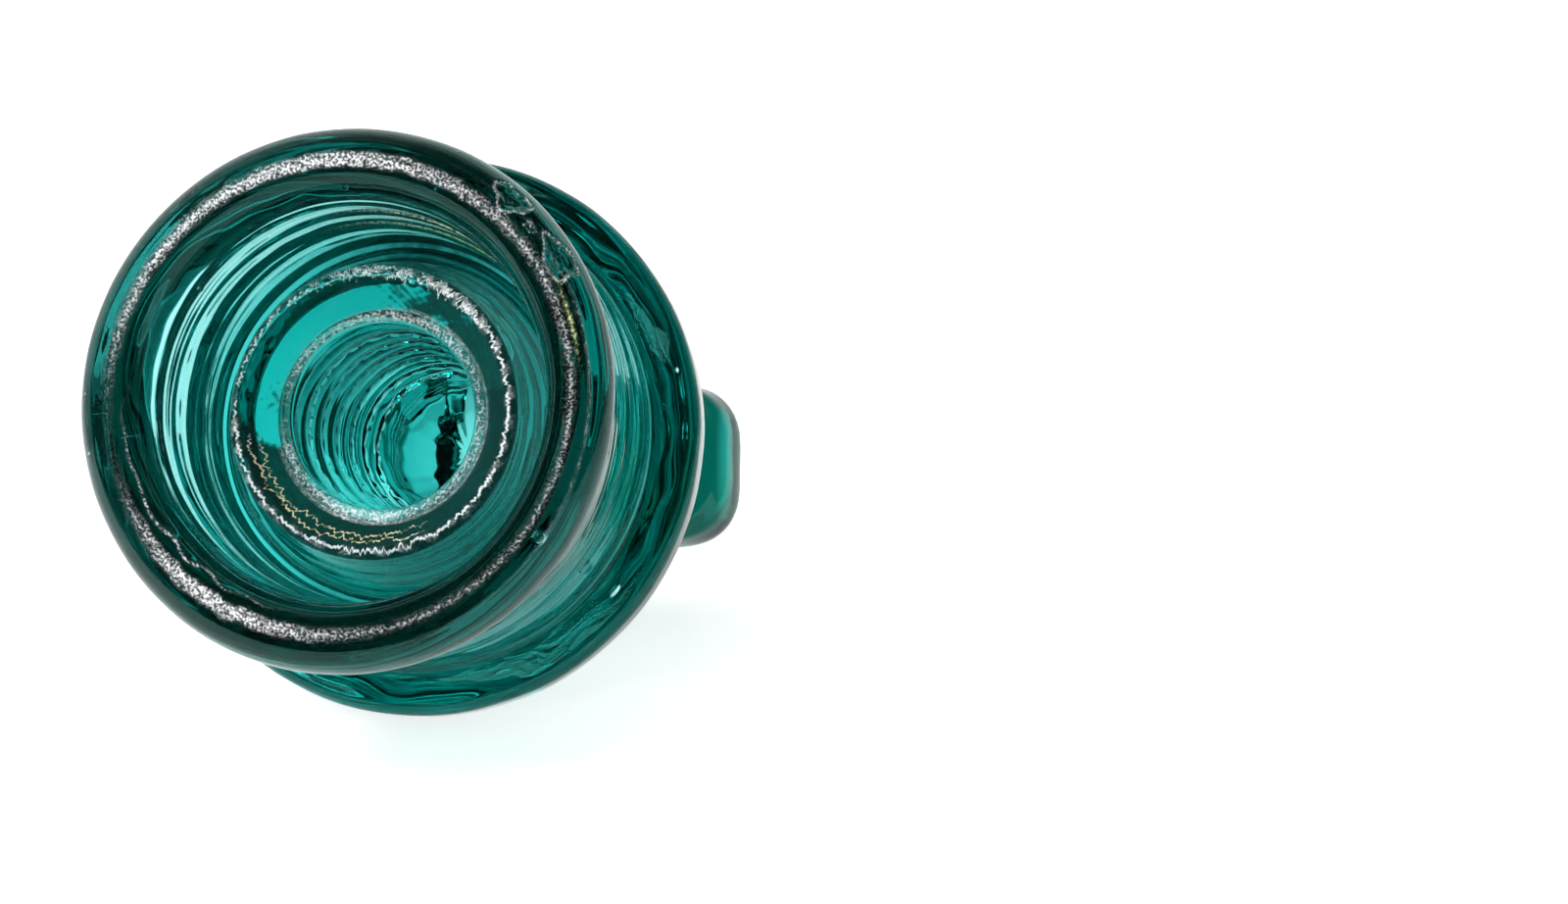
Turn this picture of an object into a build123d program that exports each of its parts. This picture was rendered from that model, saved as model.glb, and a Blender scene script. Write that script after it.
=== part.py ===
from build123d import *
import os
from math import atan, degrees

# Pressed-glass pin insulator with a saddle groove and two ears, in millimetres.
#
# The insulator stands on its base lip: the lip's crest is at z = 0, the pinhole runs up the
# Z axis, the ears point along X and the saddle groove runs along Y. The glass is one casting.
# It is divided here into its functional zones, which meet face to face.

os.makedirs("parts", exist_ok=True)

INCH = 25.4

# Driving dimensions
disc_r = 3.75 * INCH / 2  # upper skirt, the widest round part
total_height = 4.25 * INCH
thread_pitch = INCH / 4  # four threads to the inch, as on every wooden insulator pin

# Base lip: a rounded bead with a narrow flat crest that it stands on
lip_r = 42.7
lip_widest_z = 5.0
crest_inner_r = 35.7
crest_outer_r = 37.7
lip_top_z = 9.0
mouth_r = 31.7
mouth_z = 6.5

# Lower skirt: the outer wall between the lip and the disc
skirt_outer_r = 39.4
skirt_root_inner_r = 30.2
zone_z = 34.0  # where the skirt and the petticoat join the body

# Pin boss: the inner petticoat and the threaded pinhole
petticoat_z = 18.6
petticoat_crest_r = 22.4
petticoat_r = 23.5
petticoat_root_r = 28.2
boss_r = 18.5
tip_outer_r = 17.3
tip_z = 25.5
pinhole_r = 15.2
land_length = 3.5
pinhole_taper = 0.07  # radius lost for each millimetre of depth
thread_start_z = 31.0
thread_turns = 7.5
thread_depth = 1.5
thread_width = 4.6
thread_bite = 0.3  # the groove's profile starts this far inside the hole, for a clean cut
pinhole_end_z = 82.0

# Upper skirt (the disc), wire groove and crown
disc_underside_z = 48.8
disc_edge_z = 51.0
disc_edge_top_z = 54.0
brim_r = 43.3  # the brim and the waist are the handles of the curve from the edge to the shoulder
brim_z = 57.0
waist_r = 32.8
waist_z = 68.2
shoulder_z = 73.5
shoulder_r = 29.5
shoulder_slope = 0.25  # height gained for each millimetre inwards, at the shoulder
neck_r = 23.6
neck_z = 80.5
crown_z = 88.0
crown_r = 27.5
crown_foot_r = 26.0
crown_belly_z = 93.0
crown_edge_r = 26.0
crown_edge_z = total_height - 5.0
crown_top_r = 21.5
saddle_r = 12.5
saddle_floor_z = 98.0

# Ears
ear_reach = 46.0
ear_width = 29.8
ear_corner_r = 9.5
ear_flare = 2.0  # degrees that the ear's sides lean outwards
ear_underside_z = 91.5
ear_edge_r = 2.5
ear_top_edge_r = 7.0
ear_root_x = 16.0


def save(zone, name):
    """Label a finished zone and write it as its own STEP file."""
    zone.part.label = name
    export_step(zone.part, f"parts/{name}.step")


# Base lip
with BuildPart() as base_lip:
    with BuildSketch(Plane.XZ):
        with BuildLine():
            Line((crest_inner_r, 0), (crest_outer_r, 0))
            EllipticalCenterArc(
                (crest_outer_r, lip_widest_z),
                lip_r - crest_outer_r,
                lip_widest_z,
                start_angle=-90,
                arc_size=90,
            )
            Spline(
                (lip_r, lip_widest_z),
                (skirt_outer_r, lip_top_z),
                tangents=((0, 1), (-0.2, 1)),
            )
            Line((skirt_outer_r, lip_top_z), (mouth_r, lip_top_z))
            Line((mouth_r, lip_top_z), (mouth_r, mouth_z))
            EllipticalCenterArc(
                (crest_inner_r, mouth_z),
                crest_inner_r - mouth_r,
                mouth_z,
                start_angle=180,
                arc_size=90,
            )
        make_face()
    revolve(axis=Axis.Z)
save(base_lip, "base_lip")

# Lower skirt
with BuildPart() as lower_skirt:
    with BuildSketch(Plane.XZ):
        with BuildLine():
            Polyline(
                (mouth_r, lip_top_z),
                (skirt_outer_r, lip_top_z),
                (skirt_outer_r, zone_z),
                (skirt_root_inner_r, zone_z),
                close=True,
            )
        make_face()
    revolve(axis=Axis.Z)
save(lower_skirt, "lower_skirt")

# Boss: the petticoat with its dished mouth and the sleeve round the pinhole, divided afterwards
with BuildPart() as boss:
    with BuildSketch(Plane.XZ):
        with BuildLine():
            Polyline(
                (0, crown_z),
                (0, tip_z),
                (tip_outer_r, tip_z),
                (petticoat_crest_r, petticoat_z),
                (petticoat_r, petticoat_z + (petticoat_r - petticoat_crest_r)),
                (petticoat_root_r, zone_z),
                (boss_r, zone_z),
                (boss_r, crown_z),
                close=True,
            )
        make_face()
    revolve(axis=Axis.Z)
    # The pinhole: a plain land at the mouth, then a taper with a domed end
    taper_z = tip_z + land_length
    end_r = pinhole_r - pinhole_taper * (pinhole_end_z - taper_z)
    dome = end_r / 2
    with BuildSketch(Plane.XZ):
        with BuildLine():
            Polyline(
                (0, pinhole_end_z),
                (0, tip_z),
                (pinhole_r, tip_z),
                (pinhole_r, taper_z),
                (end_r, pinhole_end_z - dome),
            )
            EllipticalCenterArc((0, pinhole_end_z - dome), end_r, dome, start_angle=0, arc_size=90)
        make_face()
    revolve(axis=Axis.Z, mode=Mode.SUBTRACT)
    # The thread: one rounded groove wound up the taper
    start_r = pinhole_r - pinhole_taper * (thread_start_z - taper_z)
    with BuildLine():
        thread_path = Helix(
            thread_pitch,
            thread_pitch * thread_turns,
            start_r,
            center=(0, 0, thread_start_z),
            cone_angle=-degrees(atan(pinhole_taper)),
        )
    with BuildSketch(Plane(thread_path @ 0, x_dir=(1, 0, 0), z_dir=thread_path % 0)):
        with BuildLine():
            half = thread_width / 2
            Spline((-thread_bite, -half), (thread_depth, 0), (-thread_bite, half))
            Line((-thread_bite, half), (-thread_bite, -half))
        make_face()
    sweep(path=thread_path, is_frenet=True, mode=Mode.SUBTRACT)

with BuildPart() as petticoat:
    add(boss.part)
    split(bisect_by=Plane.XY.offset(zone_z), keep=Keep.BOTTOM)
save(petticoat, "petticoat")

with BuildPart() as pin_sleeve:
    add(boss.part)
    split(bisect_by=Plane.XY.offset(zone_z), keep=Keep.TOP)
save(pin_sleeve, "pin_sleeve")

# Upper skirt: the disc, its shoulder and the web that carries both skirts
with BuildPart() as upper_skirt:
    groove_r = (skirt_root_inner_r - petticoat_root_r) / 2
    edge_r = disc_edge_z - disc_underside_z
    with BuildSketch(Plane.XZ):
        with BuildLine():
            Line((boss_r, shoulder_z), (boss_r, zone_z))
            Line((boss_r, zone_z), (petticoat_root_r, zone_z))
            ThreePointArc(
                (petticoat_root_r, zone_z),
                (petticoat_root_r + groove_r, zone_z + groove_r),
                (skirt_root_inner_r, zone_z),
            )
            Polyline(
                (skirt_root_inner_r, zone_z),
                (skirt_outer_r, zone_z),
                (skirt_outer_r, disc_underside_z),
                (disc_r - edge_r, disc_underside_z),
            )
            CenterArc((disc_r - edge_r, disc_edge_z), edge_r, -90, 90)
            Line((disc_r, disc_edge_z), (disc_r, disc_edge_top_z))
            Bezier(
                (disc_r, disc_edge_top_z),
                (brim_r, brim_z),
                (waist_r, waist_z),
                (shoulder_r, shoulder_z),
            )
            Line((shoulder_r, shoulder_z), (boss_r, shoulder_z))
        make_face()
    revolve(axis=Axis.Z)
save(upper_skirt, "upper_skirt")

# Neck: the wire groove
with BuildPart() as wire_groove:
    with BuildSketch(Plane.XZ):
        with BuildLine():
            Line((boss_r, crown_z), (boss_r, shoulder_z))
            Line((boss_r, shoulder_z), (shoulder_r, shoulder_z))
            Spline(
                (shoulder_r, shoulder_z),
                (neck_r, neck_z),
                (crown_foot_r, crown_z),
                tangents=((-1, shoulder_slope), (0.7, 1)),
            )
            Line((crown_foot_r, crown_z), (boss_r, crown_z))
        make_face()
    revolve(axis=Axis.Z)
save(wire_groove, "wire_groove")

# Crown and ears as one head, divided afterwards
ear_height = total_height - ear_underside_z
with BuildPart() as head:
    with BuildSketch(Plane.XZ):
        with BuildLine():
            Polyline((0, total_height), (0, crown_z), (crown_foot_r, crown_z))
            Spline(
                (crown_foot_r, crown_z),
                (crown_r, crown_belly_z),
                (crown_edge_r, crown_edge_z),
                (crown_top_r, total_height),
            )
            Line((crown_top_r, total_height), (0, total_height))
        make_face()
    revolve(axis=Axis.Z)
    with BuildPart(mode=Mode.PRIVATE) as ear_bar:
        with BuildSketch(Plane.XY.offset(ear_underside_z)):
            RectangleRounded(2 * ear_reach, ear_width, ear_corner_r)
        extrude(amount=ear_height, taper=-ear_flare)
        fillet(ear_bar.faces().sort_by(Axis.Z)[0].edges(), ear_edge_r)
        fillet(ear_bar.faces().sort_by(Axis.Z)[-1].edges(), ear_top_edge_r)
    add(ear_bar.part)
    # The saddle groove for the line wire
    with BuildSketch(Plane.XZ):
        with Locations((0, saddle_floor_z + saddle_r)):
            Circle(saddle_r)
    extrude(amount=ear_reach, both=True, mode=Mode.SUBTRACT)

with BuildPart() as saddle_crown:
    add(head.part)
    split(bisect_by=Plane.YZ.offset(ear_root_x), keep=Keep.BOTTOM)
    split(bisect_by=Plane.YZ.offset(-ear_root_x), keep=Keep.TOP)
save(saddle_crown, "saddle_crown")

with BuildPart() as ear_right:
    add(head.part)
    split(bisect_by=Plane.YZ.offset(ear_root_x), keep=Keep.TOP)
save(ear_right, "ear_right")

with BuildPart() as ear_left:
    add(ear_right.part)
    mirror(about=Plane.YZ, mode=Mode.REPLACE)
save(ear_left, "ear_left")
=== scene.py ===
"""A teal pressed-glass pin insulator, lying as in a product photograph.

The CAD frame stands the insulator on its base lip, with +Z up the pinhole, the ears along X and
the saddle groove along Y. Lengths below are in millimetres and are scaled to metres as the mesh
is made. The glass is one closed mesh. One grid of rings runs from the top of the crown, down the
outside, round the lip, up into the dry space and over the petticoat to the pinhole's mouth. A
second grid, with fewer columns, runs up the thread to the blind end, and the two are zipped
together. Bubbles and cracks are closed shells of air inside it.
"""

import bmesh
import bpy
import numpy as np
from mathutils import Matrix, Vector


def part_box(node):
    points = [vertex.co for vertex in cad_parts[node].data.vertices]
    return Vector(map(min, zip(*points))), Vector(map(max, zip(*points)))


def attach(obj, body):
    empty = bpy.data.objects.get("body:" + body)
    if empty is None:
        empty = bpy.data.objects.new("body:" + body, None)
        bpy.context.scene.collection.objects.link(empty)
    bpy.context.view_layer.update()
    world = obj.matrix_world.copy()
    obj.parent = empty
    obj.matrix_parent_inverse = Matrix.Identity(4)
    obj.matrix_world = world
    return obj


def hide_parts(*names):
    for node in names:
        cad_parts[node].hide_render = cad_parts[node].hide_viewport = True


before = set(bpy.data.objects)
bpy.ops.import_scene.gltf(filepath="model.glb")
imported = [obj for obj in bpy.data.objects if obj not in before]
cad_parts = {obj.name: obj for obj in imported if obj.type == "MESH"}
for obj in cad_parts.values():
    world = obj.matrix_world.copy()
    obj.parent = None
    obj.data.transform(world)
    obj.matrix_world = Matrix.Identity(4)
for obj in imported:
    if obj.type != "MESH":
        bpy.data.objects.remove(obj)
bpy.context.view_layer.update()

MM = 0.001


def box_mm(node):
    """The lowest and highest corners of a CAD node, in millimetres."""
    low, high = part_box(node)
    return Vector(low) / MM, Vector(high) / MM


# ---------------------------------------------------------------- sizes from the CAD frame
lip_box = box_mm("base_lip")
disc_box = box_mm("upper_skirt")
groove_box = box_mm("wire_groove")
petticoat_box = box_mm("petticoat")
ear_box = box_mm("ear_right")
crown_box = box_mm("saddle_crown")

LIP_R = lip_box[1].x
LIP_TOP_Z = lip_box[1].z
DISC_R = disc_box[1].x
ZONE_Z = disc_box[0].z
SHOULDER_Z = groove_box[0].z
CROWN_Z = groove_box[1].z
SHOULDER_R = groove_box[1].x
PETTICOAT_ROOT_R = petticoat_box[1].x
PETTICOAT_Z = petticoat_box[0].z
EAR_REACH = ear_box[1].x
TOP_Z = crown_box[1].z
CROWN_R = crown_box[1].y

# ---------------------------------------------------------------- sizes of the moulded details
LIP_WIDEST_Z = 5.0
CREST_R = 36.7
CREST_HALF = 1.0
MOUTH_R = 31.7
MOUTH_Z = 6.5
SKIRT_R = 39.4
SKIRT_ROOT_R = 30.2
PETTICOAT_CREST_R = 22.4
TIP_R = 17.3
TIP_Z = 25.5
HOLE_R = 15.2
LAND_END_Z = 29.0
HOLE_END_Z = 82.0
# The thread as it is seen. It is deeper, starts nearer the mouth and ends sooner than the CAD's.
TAPER = 0.075
THREAD_PITCH = 6.35
THREAD_DEPTH = 2.0
THREAD_START_Z = 25.6
THREAD_END_Z = 71.0
DOME_HEIGHT = 7
DISC_UNDERSIDE_Z = 48.8
DISC_EDGE_Z = 51.0
DISC_EDGE_TOP_Z = 54.0
NECK_R = 23.6
NECK_Z = 80.5
CROWN_FOOT_R = 26.0
SADDLE_R = 12.5
SADDLE_FLOOR_Z = 98.0
EAR_WIDTH = 30.2
EAR_CORNER_R = 10.0
EAR_UNDERSIDE_Z = 91.5

COLUMNS = 360
BORE_COLUMNS = 220
CREST_PATH = 10.0  # the stretch in from the petticoat's crest that carries the wrinkles
CHIPPED_AT = np.radians(-40)  # the side of the lip with the chips, where the columns are closer


# ---------------------------------------------------------------- helpers for outlines and fields
def line(start, end, count):
    """Points from start up to, not including, end."""
    share = np.arange(count) / count
    return np.outer(1 - share, start) + np.outer(share, end)


def arc(centre, radii, first, last, count):
    """Points on an ellipse from angle first up to, not including, last, in degrees."""
    turn = np.radians(first + (last - first) * np.arange(count) / count)
    return np.array(centre) + np.column_stack((radii[0] * np.cos(turn), radii[1] * np.sin(turn)))


def bend(start, end, leave, arrive, count):
    """A Hermite curve between two points with given end tangents."""
    t = (np.arange(count) / count)[:, None]
    p, q, u, v = (np.array(a, float) for a in (start, end, leave, arrive))
    return (
        (2 * t**3 - 3 * t**2 + 1) * p
        + (t**3 - 2 * t**2 + t) * u
        + (3 * t**2 - 2 * t**3) * q
        + (t**3 - t**2) * v
    )


def smooth_step(value, low, high):
    """0 up to low, 1 from high on, with a smooth rise between them."""
    t = np.clip((value - low) / (high - low), 0, 1)
    return t * t * (3 - 2 * t)


def bump(value, middle, width):
    """A bell of height 1."""
    return np.exp(-(((value - middle) / width) ** 2))


def column_angles():
    """The columns' angles round the axis, closer together at the chipped side."""
    fine = np.linspace(0, 2 * np.pi, 4001)
    away = np.angle(np.exp(1j * (fine - CHIPPED_AT)))
    density = 1 + 2.0 * bump(away, 0, 0.45)
    share = np.concatenate(([0], np.cumsum((density[1:] + density[:-1]) / 2)))
    return np.interp(np.arange(COLUMNS) / COLUMNS, share / share[-1], fine)


turns = column_angles()
cos_t, sin_t = np.cos(turns), np.sin(turns)


def away_from(degrees):
    """Each column's angle from a direction, from -pi to pi."""
    return np.angle(np.exp(1j * (turns - np.radians(degrees))))


def waves(seed, around, along, travel, count=12):
    """A smooth random field over rings and columns: a sum of cosines with a spread of about 1.

    around is the range of whole waves per turn, along that of radians per millimetre of travel.
    """
    dice = np.random.default_rng(seed)
    field = np.zeros((len(travel), COLUMNS))
    for _ in range(count):
        lean = dice.uniform(*along) * dice.choice((-1, 1))
        start = dice.uniform(0, 2 * np.pi)
        field += np.cos(dice.integers(*around) * turns[None, :] + lean * travel[:, None] + start)
    return field * np.sqrt(2 / count)


# ---------------------------------------------------------------- crown, ears and saddle groove
def ear_outline():
    """How far the crown and ears reach from the axis in each column, as seen from above."""
    low, high = np.zeros(COLUMNS), np.full(COLUMNS, 80.0)
    half = np.array([EAR_REACH - EAR_CORNER_R, EAR_WIDTH / 2 - EAR_CORNER_R])
    blend = 3.0
    for _ in range(40):
        r = (low + high) / 2
        x, y = np.abs(r * cos_t) - half[0], np.abs(r * sin_t) - half[1]
        bar = np.hypot(np.maximum(x, 0), np.maximum(y, 0)) - EAR_CORNER_R
        bar = bar + np.minimum(np.maximum(x, y), 0)
        crown = r - CROWN_R
        h = np.clip(0.5 + 0.5 * (crown - bar) / blend, 0, 1)
        joined = crown * (1 - h) + bar * h - blend * h * (1 - h)
        inside = joined < 0
        low, high = np.where(inside, r, low), np.where(inside, high, r)
    return low


def top_height(x):
    """The height of the crown's top surface across the saddle groove."""
    groove = SADDLE_FLOOR_Z + SADDLE_R - np.sqrt(np.maximum(SADDLE_R**2 - x * x, 0))
    groove = np.where(np.abs(x) < SADDLE_R, groove, TOP_Z + 40)
    dome = TOP_Z - 0.00045 * x * x
    soft = 1.2
    h = np.clip(0.5 + 0.5 * (dome - groove) / soft, 0, 1)
    return dome * (1 - h) + groove * h - soft * h * (1 - h)


def crown_rings():
    """Rings from the middle of the crown's top, over the ears, to the crown's foot."""
    reach = ear_outline()
    ear = smooth_step(reach, CROWN_R + 0.2, CROWN_R + 8)
    top_edge = 7.0 * ear + 2.5 * (1 - ear)
    low_edge = 2.5
    rings = []
    inner = reach - top_edge
    for share in np.linspace(0, 1, 40)[1:]:
        r = inner * share
        rings.append((r, top_height(r * cos_t)))
    edge_z = top_height(inner * cos_t)
    for turn in np.radians(np.linspace(0, 90, 10)[1:]):
        r = inner + top_edge * np.sin(turn)
        rings.append((r, edge_z - top_edge * (1 - np.cos(turn))))
    side_top = edge_z - top_edge
    ear_low = EAR_UNDERSIDE_Z + low_edge
    round_low = CROWN_Z + 4.0
    side_low = ear * ear_low + (1 - ear) * round_low
    flare = 2.0 * ear
    for share in np.linspace(0, 1, 14)[1:]:
        z = side_top + (side_low - side_top) * share
        rings.append((reach - flare * share, z))
    last_r = reach - flare
    for turn in np.radians(np.linspace(0, 90, 9)[1:]):
        r = last_r - low_edge * np.sin(turn) * ear - 0.35 * np.sin(turn) * (1 - ear)
        z = side_low - low_edge * (1 - np.cos(turn)) * ear - 1.2 * (turn / 1.5708) * (1 - ear)
        rings.append((r, z))
    under_r, under_z = rings[-1]
    foot_r = CROWN_FOOT_R + 0.9
    foot_z = CROWN_Z + 1.2
    for share in np.linspace(0, 1, 22)[1:]:
        r = under_r + (foot_r - under_r) * share
        z = under_z + (foot_z - under_z) * (share**3)
        rings.append((r, z))
    return rings


def soften(grid, strength, rounds):
    """Laplacian smoothing of a grid of points, ring by ring, held at both ends."""
    for _ in range(rounds):
        near = (np.roll(grid, 1, 1) + np.roll(grid, -1, 1)) / 2
        along = (grid[:-2] + grid[2:]) / 2
        mean = (near[1:-1] + along) / 2
        grid[1:-1] += (mean - grid[1:-1]) * strength[1:-1, None, None]
    return grid


# ---------------------------------------------------------------- the round part, as one outline
def round_stretches():
    """Named stretches of (radius, height), down the outside, round the lip and up inside."""
    edge = DISC_EDGE_Z - DISC_UNDERSIDE_Z
    return {
        "crown foot": bend((CROWN_FOOT_R, CROWN_Z), (NECK_R, NECK_Z), (-5, -6), (0, -7), 18),
        "neck": bend((NECK_R, NECK_Z), (SHOULDER_R, SHOULDER_Z), (0, -7), (9, -2.5), 20),
        "disc top": bend(
            (SHOULDER_R, SHOULDER_Z), (DISC_R, DISC_EDGE_TOP_Z), (10, -16), (13, -9), 34
        ),
        "disc edge": line((DISC_R, DISC_EDGE_TOP_Z), (DISC_R, DISC_EDGE_Z), 6),
        "disc rim": arc((DISC_R - edge, DISC_EDGE_Z), (edge, edge), 0, -90, 12),
        "disc underside": line(
            (DISC_R - edge, DISC_UNDERSIDE_Z), (SKIRT_R + 1.5, DISC_UNDERSIDE_Z - 0.1), 12
        ),
        "junction": arc((SKIRT_R + 1.5, DISC_UNDERSIDE_Z - 1.6), (1.5, 1.5), 90, 180, 8),
        "outer wall": line(
            (SKIRT_R, DISC_UNDERSIDE_Z - 1.6), (SKIRT_R, LIP_TOP_Z + 2), 60
        ),
        "lip back": bend((SKIRT_R, LIP_TOP_Z + 2), (LIP_R, LIP_WIDEST_Z), (0, -3), (0, -6), 16),
        "lip outside": arc(
            (CREST_R + CREST_HALF, LIP_WIDEST_Z), (LIP_R - CREST_R - CREST_HALF, LIP_WIDEST_Z),
            0, -90, 26
        ),
        "lip crest": line((CREST_R + CREST_HALF, 0), (CREST_R - CREST_HALF, 0), 8),
        "lip inside": arc(
            (CREST_R - CREST_HALF, MOUTH_Z), (CREST_R - CREST_HALF - MOUTH_R, MOUTH_Z),
            -90, -180, 24
        ),
        "inner wall": line((MOUTH_R, MOUTH_Z), (SKIRT_ROOT_R, ZONE_Z), 76),
        "dry groove": arc(
            ((SKIRT_ROOT_R + PETTICOAT_ROOT_R) / 2, ZONE_Z),
            ((SKIRT_ROOT_R - PETTICOAT_ROOT_R) / 2, 1.4), 0, 180, 14
        ),
        "petticoat wall": line(
            (PETTICOAT_ROOT_R, ZONE_Z), (PETTICOAT_CREST_R + 1.3, PETTICOAT_Z + 1.6), 30
        ),
        "petticoat crest": arc(
            (PETTICOAT_CREST_R, PETTICOAT_Z + 1.4), (1.3, 1.4), 0, -110, 16
        ),
        "dish": line((PETTICOAT_CREST_R - 0.5, PETTICOAT_Z + 0.1), (TIP_R, TIP_Z - 0.2), 34),
        "tip": bend((TIP_R, TIP_Z - 0.2), (HOLE_R, TIP_Z + 0.4), (-0.8, -0.3), (-0.4, 1.6), 10),
    }


def thread_grid():
    """Rings up the pinhole: a taper with a right-hand thread, then the domed blind end.

    The masks are painted shade: a darker tint over the whole bore, and a dark film between the
    crests on the bore's upper side.
    """
    per_turn = 26
    bore_turns = np.arange(BORE_COLUMNS) / BORE_COLUMNS * 2 * np.pi
    dome_z = HOLE_END_Z - DOME_HEIGHT
    count = int((dome_z - TIP_Z) / THREAD_PITCH * per_turn)
    top_side = 0.15 + 0.85 * bump(np.angle(np.exp(1j * (bore_turns + 1.9))), 0, 1.1)
    rings, painted_dark_film = [], []
    for z in np.linspace(TIP_Z + 0.4, dome_z, count):
        plain = HOLE_R - TAPER * max(z - LAND_END_Z, 0)
        turns_in = (z - THREAD_START_Z) / THREAD_PITCH - bore_turns / (2 * np.pi)
        phase = turns_in - np.floor(turns_in)
        # a narrow rounded crest with a wide round root
        groove = np.sqrt(np.maximum(1 - np.abs(2 * phase - 1) ** 3.5, 0))
        groove = np.maximum(groove - 0.25, 0) / 0.75
        fade = smooth_step(turns_in, -0.1, 0.4) * smooth_step(THREAD_END_Z + 1.5 - z, 0.0, 4.0)
        rings.append((plain + THREAD_DEPTH * groove * fade, z))
        # painted shade: a dark film between the crests on the bore's upper side, fading out deeper
        # in
        clear = bump(np.abs(2 * phase - 1), 1, 0.22)
        painted_dark_film.append(fade * top_side * (1 - clear) * (1 - smooth_step(z, 48, 64)))
    last = HOLE_R - TAPER * (dome_z - LAND_END_Z)
    for turn in np.radians(np.linspace(0, 90, 16)[1:-1]):
        rings.append((last * np.cos(turn), dome_z + DOME_HEIGHT * np.sin(turn)))
        painted_dark_film.append(np.zeros(BORE_COLUMNS))
    grid = []
    for r, z in rings:
        worn = 0.05 * np.cos(3 * bore_turns + 0.4 * z) + 0.04 * np.cos(7 * bore_turns - 0.9 * z)
        rough = smooth_step(z, THREAD_END_Z - 14, THREAD_END_Z + 2)
        worn += 0.25 * rough * np.cos(11 * bore_turns + 2.3 * z) * np.cos(5 * bore_turns - 1.7 * z)
        reach = r - worn * smooth_step(z, TIP_Z + 1, TIP_Z + 4) * (r > 1)
        flat = np.full(BORE_COLUMNS, z)
        grid.append(np.column_stack((reach * np.cos(bore_turns), reach * np.sin(bore_turns), flat)))
    # painted shade: the whole bore is tinted half way to the deep teal
    painted_shade = np.full((len(grid), BORE_COLUMNS), 0.5)
    return np.array(grid), {"painted_shade": painted_shade, "painted_dark_film": np.array(painted_dark_film)}


# ---------------------------------------------------------------- the worn and pressed surface, with painted shade and highlights
def surface_normals(grid):
    """Unit normals of the grid, pointing out of the glass."""
    across = np.roll(grid, -1, 1) - np.roll(grid, 1, 1)
    along = np.gradient(grid, axis=0)
    normal = np.cross(along, across)
    size = np.linalg.norm(normal, axis=2, keepdims=True)
    return normal / np.maximum(size, 1e-9)


def relief(grid, span, travel):
    """How far each point stands out of the smooth shape, in millimetres."""
    radius = np.hypot(grid[:, :, 0], grid[:, :, 1])
    height = grid[:, :, 2]
    out = np.zeros(radius.shape)
    # the slow waviness of pressed glass
    calm = smooth_step(travel, 0, 40) * smooth_step(travel[-1] - travel, 0, 20)
    out += 0.05 * waves(1, (2, 9), (0.03, 0.15), travel) * calm[:, None]
    out += 0.010 * waves(2, (8, 30), (0.3, 0.9), travel, 16) * calm[:, None]
    # mould striations round the outer wall, and a low ridge on the lip's outer shoulder
    wall = span["outer wall"]
    out[wall] += 0.022 * waves(3, (0, 3), (1.2, 5.0), travel[wall], 14)
    out[wall] += 0.05 * waves(4, (0, 5), (0.25, 0.7), travel[wall], 8)
    lip = span["lip outside"]
    out[lip] += 0.10 * bump(radius[lip], 39.6, 0.35)
    disc = slice(span["disc top"].start, span["junction"].start)
    out[disc] += 0.035 * waves(9, (3, 18), (0.05, 0.4), travel[disc], 12) * smooth_step(
        radius[disc], SHOULDER_R, SHOULDER_R + 4
    )
    # plunger steps up the inner wall
    inner = span["inner wall"]
    level = height[inner]
    for step_z, width, rise in (
        (9.8, 1.3, 0.24), (13.4, 0.6, -0.14), (15.2, 0.6, 0.16), (19.6, 1.5, -0.20),
        (25.4, 1.5, 0.20), (31.0, 1.2, -0.18),
    ):
        wander = 0.35 * waves(int(10 * step_z), (1, 4), (0, 0.01), travel[inner], 4)
        out[inner] += rise * bump(level + wander, step_z, width)
    # wrinkles where the glass chilled on the petticoat's crest, strongest at the top and left
    crest = slice(span["petticoat crest"].start, span["dish"].stop)
    chill = 0.15 + 0.7 * bump(away_from(-90), 0, 0.75) + 0.3 * bump(away_from(180), 0, 0.5)
    path = travel[crest] - travel[span["petticoat crest"].start]
    wander = 1.6 + 0.5 * waves(5, (20, 70), (0, 0.01), path, 10)[:1]
    zigzag = bump(path[:, None], wander, 0.28)
    out[crest] += 0.26 * chill * zigzag
    top_side = 0.25 + 0.75 * bump(away_from(-88), 0, 0.55)
    out[crest] += (
        0.13 * top_side * bump(path[:, None], 1.9, 1.5) * waves(6, (30, 90), (0.8, 3), path, 14)
    )
    # two loose scribbles of chilled glass low on the dish
    for seed, base, spread in ((7, 3.4, 0.55), (8, 5.0, 0.8)):
        low_side = bump(away_from(105), 0, 0.85)
        trail = base + spread * waves(seed, (6, 30), (0, 0.01), path, 8)[:1]
        out[crest] += 0.16 * low_side * bump(path[:, None], trail, 0.2)
    return out


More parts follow.
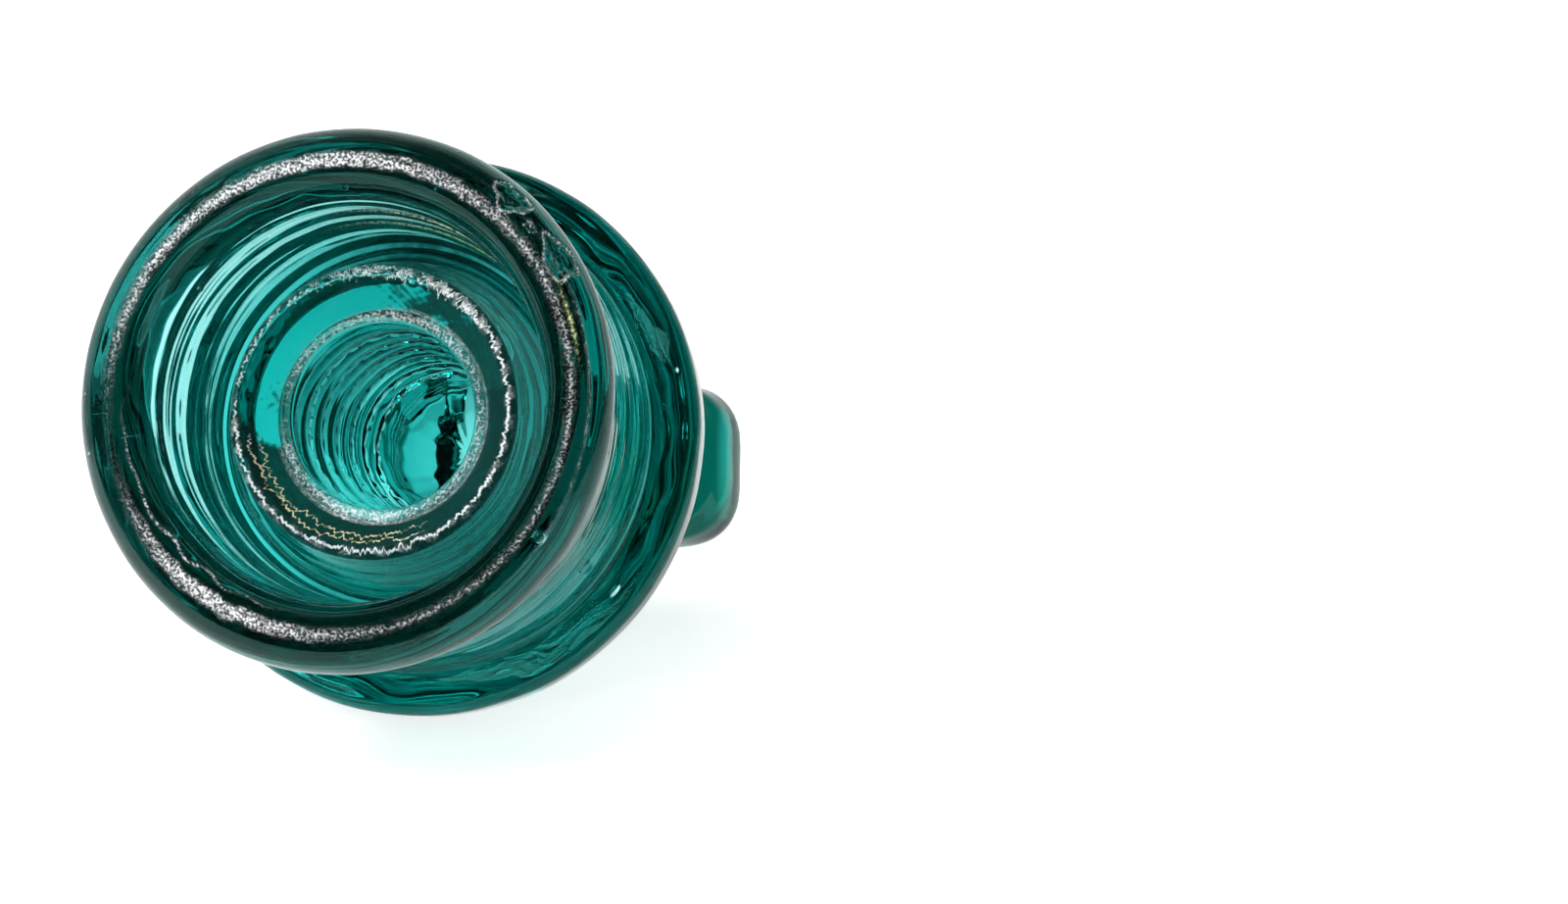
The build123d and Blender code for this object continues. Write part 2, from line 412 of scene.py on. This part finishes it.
def frost_and_highlight_mask(grid, span, travel):
    """Where the surface is ground or chilled dull, from 0 to 1, in places made stronger as painted
    highlight.
    """
    radius = np.hypot(grid[:, :, 0], grid[:, :, 1])
    mask = np.zeros(radius.shape)
    lip = slice(span["lip outside"].start, span["lip inside"].stop)
    uneven = 0.75 + 0.3 * waves(21, (1, 7), (0, 0.3), travel[lip], 8)
    ragged = 0.12 * waves(22, (10, 60), (0.0, 0.2), travel[lip], 12)
    # painted highlight: the ground ring is made stronger towards -80, 122 and 180 degrees, on top of
    # the real frosting
    broad = bump(away_from(-80), 0, 0.55) + bump(away_from(122), 0, 0.45)
    broad += 0.35 * bump(away_from(180), 0, 0.7)
    ring = (0.30 + 0.6 * broad) * bump(radius[lip], 36.9, 0.30)
    ring += broad * bump(radius[lip], 36.2 + ragged, 0.45)
    ring += 0.7 * broad * bump(radius[lip], 37.6 + ragged, 0.5)
    ring += 0.30 * bump(radius[lip], 36.8, 0.95)
    near_base = 1 - smooth_step(grid[lip][:, :, 2], 0.6, 1.6)
    mask[lip] = ring * near_base * uneven
    right = bump(away_from(0), 0, 0.9)
    mask[lip] += 0.3 * right * bump(radius[lip], 39.7, 0.3) * (radius[lip] > CREST_R)
    mask[lip] += 0.8 * bump(away_from(-17), 0, 0.12) * bump(radius[lip], 38.3, 0.3)
    # a thin chilled line that wanders along the lip's inner shoulder, low on the left
    wander = 34.2 + 0.28 * waves(25, (4, 40), (0, 0.01), travel[lip], 10)[:1]
    trail = bump(away_from(140), 0, 0.5) * (radius[lip] < CREST_R)
    mask[lip] += trail * bump(radius[lip], wander, 0.16)
    # chilled patches on the petticoat's crest, set mostly on the top side as painted glints
    crest = slice(span["petticoat crest"].start, span["dish"].stop)
    path = travel[crest] - travel[span["petticoat crest"].start]
    chill = 0.12 + 0.7 * bump(away_from(-85), 0, 0.7) + 0.2 * bump(away_from(180), 0, 0.6)
    patches = smooth_step(waves(23, (12, 50), (0.5, 2), path, 12), -0.2, 0.9)
    mask[crest] += 0.8 * chill * bump(path[:, None], 1.6, 0.8) * patches
    # painted highlight: pale lines across the top side of the inner wall
    inner = span["inner wall"]
    top_side = bump(away_from(-60), 0, 0.6)
    for level, width in ((13.5, 0.7), (17.5, 0.4), (21.0, 0.9)):
        wander = 0.5 * waves(int(level * 2), (1, 6), (0, 0.01), travel[inner], 5)
        mask[inner] += 0.9 * top_side * bump(grid[inner][:, :, 2] + wander, level, width)
    # the ground ring at the pinhole's mouth, made stronger towards 115 degrees as painted highlight
    tip = slice(span["dish"].stop - 4, span["tip"].stop)
    wide = 0.85 + 0.2 * waves(24, (2, 9), (0, 0.1), travel[tip], 8)
    mask[tip] += (0.6 + 0.35 * bump(away_from(115), 0, 0.9)) * wide * bump(radius[tip], 16.4, 0.95)
    return np.clip(mask, 0, 1)


def amber_mask(grid, span, travel):
    """Where streaks of amber glass lie under the surface, from 0 to 1."""
    mask = np.zeros(grid.shape[:2])
    flow = waves(31, (1, 4), (0.15, 0.5), travel, 10)
    thin = bump(flow, 0.6, 0.35)
    ears = (grid[:, :, 2] > EAR_UNDERSIDE_Z - 2) & (np.hypot(grid[:, :, 0], grid[:, :, 1]) > CROWN_R)
    mask += 0.45 * ears * bump(away_from(10), 0, 0.15)
    disc = slice(span["disc top"].start, span["junction"].stop)
    mask[disc] += 0.8 * (bump(away_from(14), 0, 0.35) * thin[disc])
    lip = slice(span["lip outside"].start, span["lip inside"].stop)
    mask[lip] += 0.8 * bump(away_from(-86), 0, 0.16) * bump(flow[lip], 0.3, 0.5)
    radius = np.hypot(grid[lip][:, :, 0], grid[lip][:, :, 1])
    mask[lip] += 0.9 * bump(away_from(-17), 0, 0.15) * bump(radius, 38.4, 0.6)
    inner = span["inner wall"]
    mask[inner] += bump(away_from(-60), 0, 0.6) * (0.30 + 0.3 * thin[inner])
    return np.clip(mask, 0, 1)


def painted_shade_mask(grid, span, travel):
    """Where the glass is tinted darker as painted shade, from 0 to 1."""
    radius = np.hypot(grid[:, :, 0], grid[:, :, 1])
    # painted shade: the ears are tinted darker; their ends are left lighter as painted light
    mask = smooth_step(radius, CROWN_R, CROWN_R + 6) * (grid[:, :, 2] > CROWN_Z)
    mask *= 1 - 0.8 * smooth_step(np.abs(grid[:, :, 0]), EAR_REACH - 3.8, EAR_REACH - 1.6)
    # painted shade: the lip is tinted darker, most towards 180 degrees
    lip = slice(span["lip back"].start, span["lip inside"].stop - 6)
    mask[lip] += 0.5 + 0.2 * bump(away_from(180), 0, 0.8)
    # painted shade: the dish is tinted darker except on the side towards -132 degrees
    dish = slice(span["petticoat crest"].start, span["dish"].stop)
    flow = 0.25 * waves(41, (4, 16), (0.1, 0.5), travel[dish], 10)
    mask[dish] += 1.0 * smooth_step(np.abs(away_from(-132)) + flow, 0.85, 1.15)
    # painted shade: the inner wall and petticoat are tinted darker, most towards 45 degrees and
    # least towards -80 degrees
    inner = slice(span["inner wall"].start, span["petticoat wall"].stop)
    mask[inner] += 0.34 + 0.25 * bump(away_from(45), 0, 1.0)
    mask[inner] -= 0.3 * bump(away_from(-80), 0, 0.7)
    return np.clip(mask, 0, 1)


def painted_dark_film_mask(grid, span, travel):
    """Where a dark film of painted shade covers most of the dish and the deep end of the inner wall
    on its top side, from 0 to 1.
    """
    mask = np.zeros(grid.shape[:2])
    dish = slice(span["petticoat crest"].start, span["dish"].stop)
    flow = 0.22 * waves(41, (4, 16), (0.1, 0.5), travel[dish], 10)
    ragged = 0.12 * waves(42, (30, 90), (1, 4), travel[dish], 14)
    mask[dish] += 0.78 * smooth_step(np.abs(away_from(-132)) + flow + ragged, 0.85, 1.1)
    deep = slice(span["inner wall"].start, span["dry groove"].stop)
    height = grid[deep][:, :, 2] + 0.8 * flow[:1]
    mask[deep] += 0.85 * smooth_step(height, 27.5, 31.5) * bump(away_from(-82), 0, 0.65)
    return mask


def chill_masks(shape, span, travel):
    """The distance in from the petticoat's crest, and where wrinkles and gold scribbles show."""
    crest = slice(span["petticoat crest"].start, span["dish"].stop)
    path = travel[crest] - travel[crest.start]
    inwards = np.full(shape, -1.0)
    inwards[crest] = path[:, None] / CREST_PATH
    chill = np.zeros(shape)
    # the wrinkle lines show most towards -78 degrees, as painted highlight on the real wrinkles
    chill[crest] = 0.10 + 0.90 * bump(away_from(-78), 0, 0.75) + 0.25 * bump(away_from(85), 0, 0.4)
    gold = np.zeros(shape)
    gold[crest] = smooth_step(np.abs(away_from(118)), 1.0, 0.6)
    return inwards, chill, gold


def chip_reach(grid, degrees, radius, height, size):
    """How far each point is from a chip's middle, squared, 1 at its edge; and round the rim."""
    turn = np.radians(degrees)
    centre = np.array((radius * np.cos(turn), radius * np.sin(turn), height))
    round_rim = np.array((-np.sin(turn), np.cos(turn), 0))
    off = grid - centre
    u = off @ round_rim / (size[0] / 2)
    rest = off - np.outer(off @ round_rim, round_rim).reshape(off.shape)
    v = np.linalg.norm(rest, axis=2) / (size[1] / 2)
    side = np.sign(rest @ np.array((np.cos(turn), np.sin(turn), 0.3)))
    bearing = np.arctan2(v * side, u)
    uneven = 1 + 0.28 * np.cos(3 * bearing + degrees) + 0.16 * np.cos(5 * bearing - degrees)
    return (u * u + v * v) * uneven, u


def chip(grid, degrees, radius, height, size, depth):
    """Scoop a shell-shaped chip out of the glass, size being (round the rim, across it)."""
    q, u = chip_reach(grid, degrees, radius, height, size)
    ripple = 1 + 0.10 * np.cos(4.5 * np.pi * np.sqrt(np.minimum(q, 1)) + 0.6 * u)
    return -depth * np.maximum(1 - q, 0) ** 0.8 * ripple


def chip_rims(grid):
    """The sharp edges and conchoidal ripples of the chips, drawn as pale film: partly real broken
    glass, partly painted highlight, from 0 to 1.
    """
    mask = np.zeros(grid.shape[:2])
    for degrees, radius, height, size, _ in CHIPS:
        q = np.sqrt(chip_reach(grid, degrees, radius, height, size)[0])
        mask += 0.6 * bump(q, 0.98, 0.07) + 0.2 * (q < 1) * bump(np.mod(3 * q, 1), 0.5, 0.15)
    return mask


def glass_grid():
    """Points of shape (rings, columns, 3) in millimetres, with the surface's masks."""
    crown = crown_rings()
    rings = list(crown)
    span = {}
    for name, points in round_stretches().items():
        span[name] = slice(len(rings), len(rings) + len(points))
        rings += [(np.full(COLUMNS, r), np.full(COLUMNS, z)) for r, z in points]
    grid = np.array([np.column_stack((r * cos_t, r * sin_t, z)) for r, z in rings])
    strength = np.zeros(len(rings))
    strength[2 : len(crown) + 10] = 0.6
    strength[:12] *= np.linspace(0, 1, 12)
    grid = soften(grid, strength, 14)
    mean_r = np.hypot(grid[:, :, 0], grid[:, :, 1]).mean(1)
    mean_z = grid[:, :, 2].mean(1)
    travel = np.concatenate(([0], np.cumsum(np.hypot(np.diff(mean_r), np.diff(mean_z)))))
    inwards, chill, gold = chill_masks(grid.shape[:2], span, travel)
    masks = {
        "frost_and_highlight": np.clip(frost_and_highlight_mask(grid, span, travel) + chip_rims(grid), 0, 1),
        "amber": amber_mask(grid, span, travel),
        "painted_shade": painted_shade_mask(grid, span, travel),
        "painted_dark_film": painted_dark_film_mask(grid, span, travel),
        "inwards": inwards,
        "chill": chill,
        "gold": gold,
    }
    out = relief(grid, span, travel)
    for spot in CHIPS:
        out += chip(grid, *spot)
    return grid + surface_normals(grid) * out[:, :, None], masks


# (angle, radius, height, (length round the rim, width), depth), on the lip
CHIPS = (
    (-49.0, 40.6, 0.9, (7.0, 4.4), 1.1),
    (-31.5, 40.4, 0.8, (7.6, 5.0), 1.2),
    (-41.0, 39.4, 0.4, (2.4, 1.4), 0.4),
)

# (angle, radius, height, radii round the axis, outwards and along it) of the air inside
BUBBLES = (
    (-101, 36.0, 2.6, (0.7, 0.4, 0.5)),
    (181, 40.6, 4.0, (0.5, 0.4, 0.8)),
    (168, 40.4, 4.2, (0.45, 0.4, 0.6)),
    (38, 42.6, 51.2, (1.5, 0.7, 0.7)),
    (-14, 44.5, 51.5, (0.6, 0.5, 0.5)),
    (16, 37.4, 22.0, (0.4, 0.4, 0.9)),
    (21, 37.2, 27.0, (0.5, 0.4, 0.5)),
    (-33, 37.6, 30.0, (0.5, 0.4, 0.6)),
    (60, 36.8, 18.0, (0.5, 0.3, 0.6)),
    (-70, 36.9, 14.0, (0.4, 0.3, 0.4)),
    (120, 35.5, 16.0, (0.35, 0.3, 0.35)),
    (215, 35.0, 12.0, (0.4, 0.3, 0.6)),
    (34, 38.4, 2.6, (1.5, 1.0, 0.9)),
)

# (angle, radius, height, (half length, half height, half thickness)) of flat radial cracks
CRACKS = (
    (172.5, 35.7, 2.9, (2.5, 1.1, 0.05)),
    (170.0, 34.6, 5.2, (2.1, 1.4, 0.05)),
    (176.0, 38.6, 2.2, (2.2, 1.0, 0.05)),
    (-12.0, 20.6, 24.2, (1.9, 0.9, 0.05)),
    (-15.0, 21.0, 24.0, (1.3, 1.1, 0.05)),
    (12.0, 38.9, 2.4, (1.4, 1.4, 0.05)),
)


def add_shell(body, degrees, radius, height, axes, fineness):
    """Add an ellipsoid of air: axes run round the axis of the insulator, outwards and along it."""
    turn = np.radians(degrees)
    outwards = Vector((np.cos(turn), np.sin(turn), 0))
    frame_axes = (Vector((-outwards.y, outwards.x, 0)), outwards, Vector((0, 0, 1)))
    placed = Matrix([a * size * MM for a, size in zip(frame_axes, axes)]).transposed().to_4x4()
    placed.translation = (outwards * radius + Vector((0, 0, height))) * MM
    made = bmesh.ops.create_icosphere(body, subdivisions=fineness, radius=1, matrix=placed)
    faces = {face for vert in made["verts"] for face in vert.link_faces}
    for face in faces:
        outward = face.calc_center_median() - placed.translation
        if face.normal.dot(outward) > 0:
            face.normal_flip()


def add_grid(body, grid):
    """Add a grid of points with its quads, closed round the axis, and return its rows."""
    rows = [[body.verts.new(Vector(p) * MM) for p in ring] for ring in grid]
    for upper, lower in zip(rows, rows[1:]):
        for j in range(len(upper)):
            k = (j + 1) % len(upper)
            body.faces.new((upper[j], lower[j], lower[k], upper[k]))
    return rows


def zip_rings(body, upper, lower):
    """Join two rings that have different numbers of points, both starting at angle 0."""
    i = j = 0
    while i < len(upper) or j < len(lower):
        a, b = upper[i % len(upper)], lower[j % len(lower)]
        ahead = (upper[(i + 1) % len(upper)].co - b.co).length
        across = (lower[(j + 1) % len(lower)].co - a.co).length
        if j == len(lower) or (i < len(upper) and ahead <= across):
            body.faces.new((a, b, upper[(i + 1) % len(upper)]))
            i += 1
        else:
            body.faces.new((a, b, lower[(j + 1) % len(lower)]))
            j += 1


def build_glass():
    """The whole insulator as one closed mesh, with its masks as point attributes."""
    grid, masks = glass_grid()
    body = bmesh.new()
    outer = add_grid(body, grid)
    bore_grid, bore_masks = thread_grid()
    bore = add_grid(body, bore_grid)
    zip_rings(body, outer[-1], bore[0])
    top = body.verts.new(Vector((0, 0, grid[0, :, 2].mean())) * MM)
    end = body.verts.new(Vector((0, 0, HOLE_END_Z)) * MM)
    for ring, pole, upwards in ((outer[0], top, False), (bore[-1], end, True)):
        for j in range(len(ring)):
            pair = (ring[j], ring[(j + 1) % len(ring)])
            body.faces.new((pole, *(reversed(pair) if upwards else pair)))
    body.normal_update()
    for angle, radius, height, axes in BUBBLES:
        add_shell(body, angle, radius, height, axes, 3)
    for angle, radius, height, (length, tall, thick) in CRACKS:
        add_shell(body, angle, radius, height, (thick, length, tall), 3)
    mesh = bpy.data.meshes.new("insulator_glass")
    body.to_mesh(mesh)
    body.free()
    mesh.shade_smooth()
    for name, mask in masks.items():
        values = np.zeros(len(mesh.vertices), np.float32)
        values[: mask.size] = mask.ravel()
        if name in bore_masks:
            values[mask.size : mask.size + bore_masks[name].size] = bore_masks[name].ravel()
        mesh.attributes.new(name, "FLOAT", "POINT").data.foreach_set("value", values)
    glass = bpy.data.objects.new("insulator_glass", mesh)
    bpy.context.scene.collection.objects.link(glass)
    return glass


# ---------------------------------------------------------------- materials
class Tree:
    """Short ways to add nodes to a material or a world."""

    def __init__(self, owner):
        owner.use_nodes = True
        self.nodes = owner.node_tree.nodes
        self.links = owner.node_tree.links

    def feed(self, socket, value):
        """Link another node's socket to this one, or set it to a constant."""
        if isinstance(value, bpy.types.NodeSocket):
            self.links.new(value, socket)
        else:
            socket.default_value = value

    def node(self, kind, settings=None, **inputs):
        """Add a node, with its settings and its inputs by name."""
        made = self.nodes.new("ShaderNode" + kind)
        for name, value in (settings or {}).items():
            setattr(made, name, value)
        for name, value in inputs.items():
            self.feed(made.inputs[name.replace("_", " ")], value)
        return made

    def scaled(self, value, from_low, from_high, to_low, to_high):
        """A value moved from one range to another, held at the ends."""
        made = self.node("MapRange", Value=value)
        for name, limit in zip(("From Min", "From Max", "To Min", "To Max"),
                               (from_low, from_high, to_low, to_high)):
            made.inputs[name].default_value = limit
        return made.outputs["Result"]

    def in_order(self, kind, operation, *values):
        """Add a maths node, whose inputs go by their order, and return it."""
        made = self.node(kind, {"operation": operation})
        for socket, value in zip(made.inputs, values):
            self.feed(socket, value)
        return made

    def maths(self, operation, *values):
        return self.in_order("Math", operation, *values).outputs[0]

    def product(self, first, second):
        return self.maths("MULTIPLY", first, second)

    def blend(self, share, first, second):
        """The first colour where share is 0, the second where it is 1."""
        made = self.node("Mix", {"data_type": "RGBA"})
        for name, value in (("Factor", share), ("A", first), ("B", second)):
            kind = "VALUE" if name == "Factor" else "RGBA"
            self.feed(next(i for i in made.inputs if i.name == name and i.type == kind), value)
        return next(o for o in made.outputs if o.type == "RGBA")

    def mix_shaders(self, share, first, second):
        """The first shader where share is 0, the second where it is 1."""
        made = self.node("MixShader", Fac=share)
        self.feed(made.inputs[1], first)
        self.feed(made.inputs[2], second)
        return made.outputs[0]


def wavering_line(tree, inwards, spoke, middle, swing, ripple, width, seed):
    """A thin line round the dish, swinging in and out by noise, in shares of CREST_PATH."""
    offset = tree.in_order("VectorMath", "ADD", spoke, (0, 0, seed)).outputs[0]
    broad = tree.node("TexNoise", Vector=offset, Scale=5.0, Detail=2.0).outputs["Fac"]
    fine = tree.node("TexNoise", Vector=offset, Scale=34.0, Detail=3.0).outputs["Fac"]
    reach = tree.product(tree.scaled(broad, 0.3, 0.7, -1, 1), swing)
    jag = tree.product(tree.scaled(fine, 0.3, 0.7, -1, 1), ripple)
    place = tree.maths("ADD", tree.maths("ADD", reach, jag), middle)
    gap = tree.maths("ABSOLUTE", tree.maths("SUBTRACT", inwards, place))
    return tree.scaled(gap, 0.4 * width, width, 1, 0)


def glass_material():
    """Teal glass, dull and grainy where it is ground, with streaks of amber, painted shade as a
    deeper tint and a dark film, and painted highlights as pale film.
    """
    material = bpy.data.materials.new("teal_glass")
    tree = Tree(material)
    shader = tree.nodes["Principled BSDF"]
    shader.inputs["Transmission Weight"].default_value = 1.0
    shader.inputs["IOR"].default_value = 1.52
    shader.inputs["Specular Tint"].default_value = (0.22, 0.50, 0.46, 1)
    place = tree.node("TexCoord").outputs["Object"]
    frost_and_highlight, amber, painted_shade, painted_dark_film, inwards, chill, gold = (
        tree.node("Attribute", {"attribute_name": name}).outputs["Fac"]
        for name in ("frost_and_highlight", "amber", "painted_shade", "painted_dark_film", "inwards", "chill", "gold")
    )
    # ground glass: a sparkle of bright grains over a duller film
    grain = tree.node("TexNoise", Vector=place, Scale=2300.0, Detail=4.0).outputs["Fac"]
    cloud = tree.node("TexNoise", Vector=place, Scale=700.0, Detail=3.0).outputs["Fac"]
    sparkle = tree.scaled(grain, 0.45, 0.59, 0.26, 1.2)
    dull = tree.product(frost_and_highlight, tree.product(sparkle, tree.scaled(cloud, 0.32, 0.56, 0.45, 1)))
    # chill wrinkles: jagged pale film lines round the petticoat's crest and on the dish, partly real
    # wrinkles and partly painted highlight
    flat = tree.in_order("VectorMath", "MULTIPLY", place, (1, 1, 0)).outputs[0]
    spoke = tree.in_order("VectorMath", "NORMALIZE", flat).outputs[0]
    swing = tree.product(chill, 0.05)
    ripple = tree.product(tree.scaled(chill, 0, 1, 0.12, 1), 0.20)
    lines = wavering_line(tree, inwards, spoke, 0.20, swing, ripple, 0.026, 0.0)
    second = wavering_line(tree, inwards, spoke, 0.26, swing, ripple, 0.026, 3.0)
    third = wavering_line(tree, inwards, spoke, 0.14, swing, ripple, 0.024, 6.0)
    upper = tree.scaled(chill, 0.45, 0.8, 0, 1)
    lines = tree.maths("MAXIMUM", lines, tree.product(second, upper))
    lines = tree.maths("MAXIMUM", lines, tree.product(third, upper))
    broken = tree.scaled(cloud, 0.42, 0.52, 0.1, 1)
    lines = tree.product(lines, broken)
    scribble = wavering_line(tree, inwards, spoke, 0.44, 0.09, 0.07, 0.024, 9.0)
    tangle = wavering_line(tree, inwards, spoke, 0.62, 0.11, 0.08, 0.022, 12.0)
    gilt = tree.product(tree.maths("MAXIMUM", scribble, tangle), gold)
    lines = tree.maths("MAXIMUM", lines, tree.product(gilt, broken))
    dull = tree.maths("MAXIMUM", dull, lines)
    tree.links.new(tree.scaled(dull, 0, 1, 0.0, 0.5), shader.inputs["Roughness"])
    bumped = tree.node("Bump", Strength=dull, Height=grain, Distance=0.0001)
    tree.links.new(bumped.outputs["Normal"], shader.inputs["Normal"])
    tint = tree.blend(amber, (1, 1, 1, 1), (0.75, 0.45, 0.06, 1))
    # painted shade: the shade mask tints the glass towards a deep teal
    deep = tree.blend(painted_shade, tint, (0.003, 0.11, 0.085, 1))
    tree.links.new(deep, shader.inputs["Base Color"])
    straw = tree.scaled(amber, 0, 0.4, 0, 1)
    pale = tree.blend(straw, (0.84, 0.83, 0.86, 1), (0.74, 0.80, 0.40, 1))
    pale = tree.blend(gilt, pale, (0.92, 0.70, 0.32, 1))
    # painted shade: a dark diffuse film laid on by the dark film mask, near black where little frost
    # lies under it
    painted_dark_film_share = tree.product(painted_dark_film, tree.scaled(cloud, 0.35, 0.6, 0.88, 1.04))
    pale = tree.blend(tree.scaled(dull, 0.0, 0.3, 0, 1), (0.006, 0.03, 0.027, 1), pale)
    film = tree.maths("MAXIMUM", tree.product(dull, 0.8), painted_dark_film_share)
    ground = tree.node("BsdfDiffuse", Color=pale, Normal=bumped.outputs["Normal"])
    output = tree.nodes["Material Output"]
    mixed = tree.mix_shaders(film, shader.outputs[0], ground.outputs[0])
    tree.feed(output.inputs["Surface"], mixed)
    volume = tree.node("VolumeAbsorption", Color=(0.08, 0.785, 0.77, 1), Density=138.0)
    tree.feed(output.inputs["Volume"], volume.outputs["Volume"])
    return material


glass = build_glass()
glass.data.materials.append(glass_material())
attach(glass, "root")
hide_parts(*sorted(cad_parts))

# ---------------------------------------------------------------- floor, camera, world and lights
# The insulator lies on the disc's edge and the crown's rim, so the floor is the plane that
# touches both; its normal points from the floor to the object.
SIDE = Vector((1, 0, 0))
FLOOR_REACH = 3.0  # half the floor's width, in metres
FLOOR_GAP = 0.0003  # the air below the disc, in metres
FLOOR_GLOW = 0.72

disc_contact = Vector((0, DISC_R, DISC_EDGE_TOP_Z)) * MM
crown_contact = Vector((0, CROWN_R, SADDLE_FLOOR_Z - 2)) * MM
along = (crown_contact - disc_contact).normalized()
floor_normal = SIDE.cross(along).normalized()
if floor_normal.y > 0:
    floor_normal.negate()


def floor_material():
    """A pale floor that gives off a little light and is clear from below."""
    material = bpy.data.materials.new("pale_floor")
    tree = Tree(material)
    shader = tree.nodes["Principled BSDF"]
    shader.inputs["Base Color"].default_value = (0.9, 0.9, 0.9, 1)
    shader.inputs["Roughness"].default_value = 0.9
    shader.inputs["Emission Color"].default_value = (1, 1, 1, 1)
    shader.inputs["Emission Strength"].default_value = FLOOR_GLOW
    below = tree.node("NewGeometry").outputs["Backfacing"]
    clear = tree.node("BsdfTransparent").outputs[0]
    surface = tree.mix_shaders(below, shader.outputs[0], clear)
    tree.feed(tree.nodes["Material Output"].inputs["Surface"], surface)
    return material


def build_floor():
    """One large square under the disc and the crown."""
    corners = [
        disc_contact + SIDE * sx * FLOOR_REACH + along * sy * FLOOR_REACH - floor_normal * FLOOR_GAP
        for sx, sy in ((-1, -1), (1, -1), (1, 1), (-1, 1))
    ]
    mesh = bpy.data.meshes.new("floor")
    mesh.from_pydata(corners, [], [(0, 1, 2, 3)])
    made = bpy.data.objects.new("floor", mesh)
    bpy.context.scene.collection.objects.link(made)
    if mesh.polygons[0].normal.dot(floor_normal) < 0:
        mesh.flip_normals()
    mesh.materials.append(floor_material())
    return made


floor = build_floor()

# The camera is set by where it sees the insulator: the middle of the base, in millimetres, and
# the direction of the +Z axis, both as right, down and forward. The ears lie level in its view.
LENS_MM = 72.0
SENSOR_MM = 36
BASE_IN_VIEW = Vector((-68.79, -8.76, 481.9))
AXIS_IN_VIEW = Vector((0.1531, 0.1138, 0.9816)).normalized()

x_in_view = Vector((AXIS_IN_VIEW.z, 0, -AXIS_IN_VIEW.x)).normalized()
y_in_view = AXIS_IN_VIEW.cross(x_in_view)
to_row = Matrix((x_in_view, y_in_view, AXIS_IN_VIEW))
camera_spot = to_row @ -BASE_IN_VIEW * MM
right, down, forward = (to_row.col[i] for i in range(3))


def build_camera():
    """A camera at its place in the row frame, looking forward."""
    data = bpy.data.cameras.new("camera")
    data.sensor_width = SENSOR_MM
    data.lens = LENS_MM
    data.clip_start = 0.01
    made = bpy.data.objects.new("camera", data)
    bpy.context.scene.collection.objects.link(made)
    turn = Matrix((right, -down, -forward)).transposed()
    made.matrix_world = Matrix.Translation(camera_spot) @ turn.to_4x4()
    return made


bpy.context.scene.camera = build_camera()

STUDIO_WHITE = (1.25, 1.25, 1.25, 1)  # beyond the insulator
STUDIO_DARK = (0.03, 0.03, 0.03, 1)  # on the camera's side


def build_world():
    """A studio that is white beyond the insulator, dark behind the camera and plain to look at."""
    world = bpy.data.worlds.new("studio")
    tree = Tree(world)
    direction = tree.node("TexCoord").outputs["Generated"]
    toward = tree.in_order("VectorMath", "DOT_PRODUCT", direction, -forward).outputs["Value"]
    ramp = tree.node("ValToRGB", Fac=tree.scaled(toward, -1, 1, 0, 1))
    for stop, (position, colour) in zip(
        ramp.color_ramp.elements, ((0.33, STUDIO_WHITE), (0.60, STUDIO_DARK))
    ):
        stop.position = position
        stop.color = colour
    seen = tree.node("LightPath").outputs["Is Camera Ray"]
    background = tree.nodes["Background"]
    background.inputs["Strength"].default_value = 1.0
    tree.feed(background.inputs["Color"], tree.blend(seen, ramp.outputs["Color"], (1, 1, 1, 1)))
    return world


bpy.context.scene.world = build_world()


def softbox(name, spot, target, width, height, power):
    """A soft area light at spot, facing target, in metres and watts, hidden from reflections."""
    data = bpy.data.lights.new(name, "AREA")
    data.shape = "RECTANGLE"
    data.size, data.size_y = width, height
    data.energy = power
    lamp = bpy.data.objects.new(name, data)
    lamp.location = spot
    lamp.rotation_mode = "QUATERNION"
    lamp.rotation_quaternion = (target - spot).to_track_quat("-Z", "Y")
    lamp.visible_glossy = False
    bpy.context.scene.collection.objects.link(lamp)


middle = Vector((0, 0, 0.05))
up = floor_normal
back = -Vector(forward)
softbox("key", middle + back * 0.55 + up * 0.75 - SIDE * 0.45, middle, 0.6, 0.6, 16)
softbox("low_left", middle + back * 0.7 - up * 0.10 - SIDE * 0.75, middle, 0.15, 0.5, 3)

bpy.context.scene.view_settings.view_transform = "Standard"
